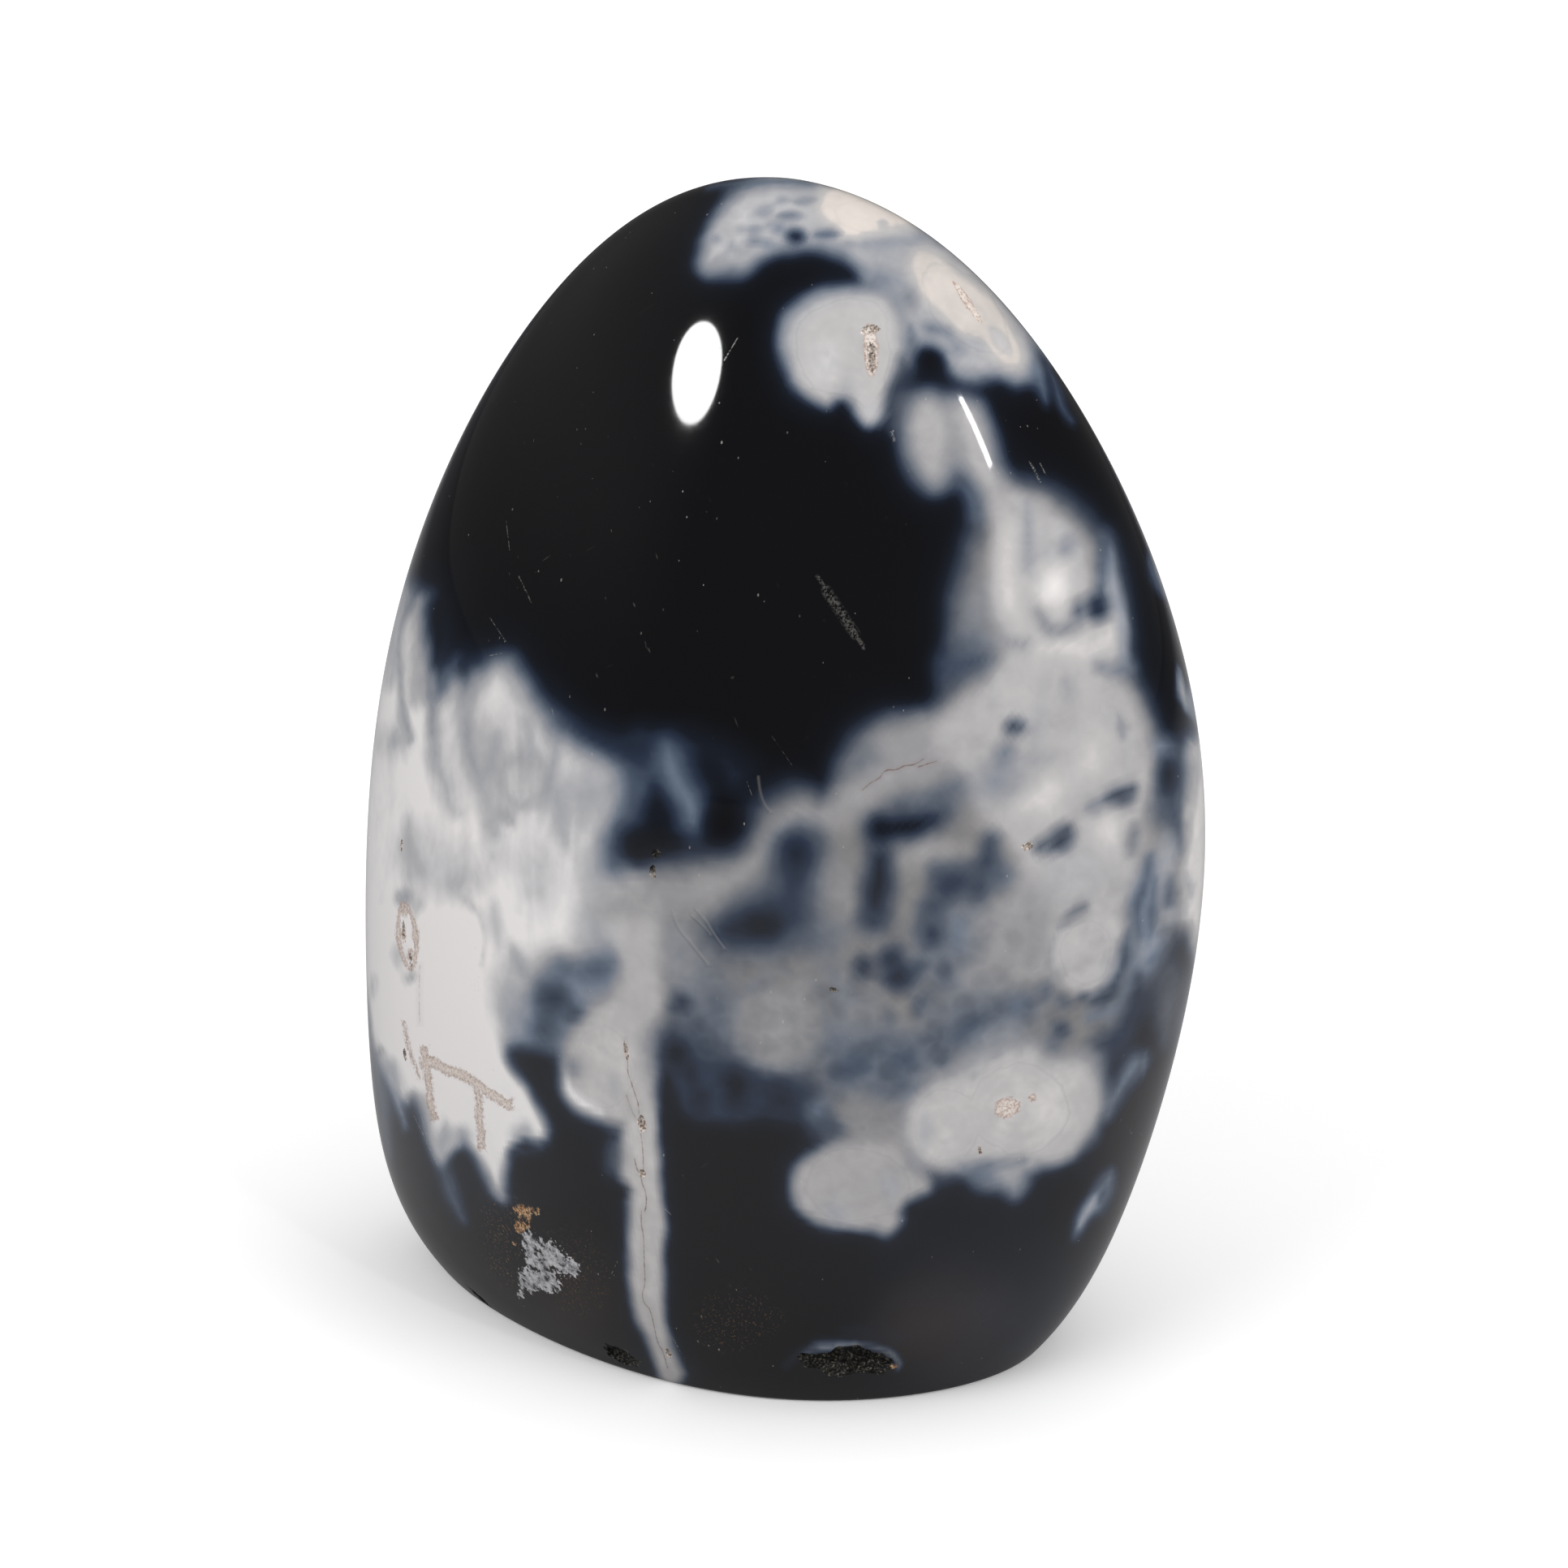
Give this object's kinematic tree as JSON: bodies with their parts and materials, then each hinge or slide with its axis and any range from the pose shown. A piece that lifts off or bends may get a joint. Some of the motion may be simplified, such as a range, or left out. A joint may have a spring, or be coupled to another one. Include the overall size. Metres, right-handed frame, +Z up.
{
  "type": "polished agate freeform stone",
  "caption": "Egg-like freeform of black and white orca agate, polished all over and sawn flat underneath so that it stands upright.",
  "frame": {"origin": "on the sawn base's plane, under the middle of the stone's plan", "axes": "+Z up from the sawn base to the crown, +X along the stone's length in plan towards its right end, +Y through its thickness to the back"},
  "size_m": [0.0808, 0.0552, 0.1048],
  "materials": {
    "orca_agate": "polished"
  },
  "bodies": {
    "root": {"agate_pillar": "orca_agate"}
  },
  "joints": []
}
